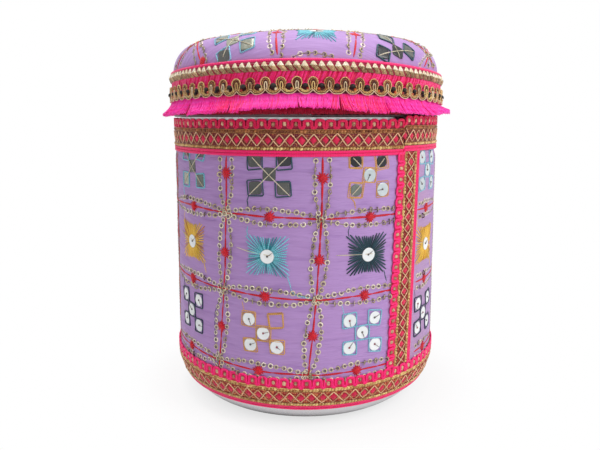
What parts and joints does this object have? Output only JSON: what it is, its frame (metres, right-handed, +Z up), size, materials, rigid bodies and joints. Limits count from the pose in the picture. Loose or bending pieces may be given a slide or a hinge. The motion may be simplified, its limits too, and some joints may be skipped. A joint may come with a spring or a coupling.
{
  "type": "embroidered canister",
  "caption": "Round steel canister with a slip-on padded lid, jacketed in embroidered mirror-work cloth with lace bands and a fringed lid trim.",
  "frame": {"origin": "centre of the canister's foot, on the surface it stands on", "axes": "+Z up along the canister's axis, -Y towards the front of the picture, +X to its right"},
  "size_m": [0.174, 0.174, 0.2179],
  "materials": {
    "steel": "polished stainless",
    "wadding": "matte fibre",
    "lilac_cloth": "fine woven cotton",
    "sequin": "gloss, silvered",
    "mirror_glass": "dark silvered",
    "pink_cord": "satin cord",
    "pink_thread": "satin cut thread",
    "gold_lace": "metallic thread on woven tape",
    "gold_braid": "metallic thread"
  },
  "bodies": {
    "base": {"canister": "steel", "body_wadding": "wadding", "body_cover": "lilac_cloth", "body_sequins": "sequin", "body_mirrors": "mirror_glass", "top_band_gimp": "pink_cord", "bottom_band_gimp": "pink_cord", "seam_band_gimp": "pink_cord", "top_band_lattice": "gold_lace", "bottom_band_lattice": "gold_lace", "seam_band_lattice": "gold_lace", "top_band_cord": "pink_cord", "bottom_band_cord": "pink_cord", "seam_band_cord": "pink_cord"},
    "lid": {"lid_shell": "steel", "lid_pad": "wadding", "lid_cover": "lilac_cloth", "lid_sequins": "sequin", "lid_mirrors": "mirror_glass", "lid_piping": "pink_cord", "lid_tape": "pink_cord", "lid_fringe": "pink_thread", "lid_gold_braid": "gold_braid", "lid_loop_braid": "gold_braid"}
  },
  "joints": [
    {"name": "lid_lift", "type": "slide", "parent": "base", "child": "lid", "axis": [0, 0, 1], "range_m": [0, 0.12]}
  ]
}
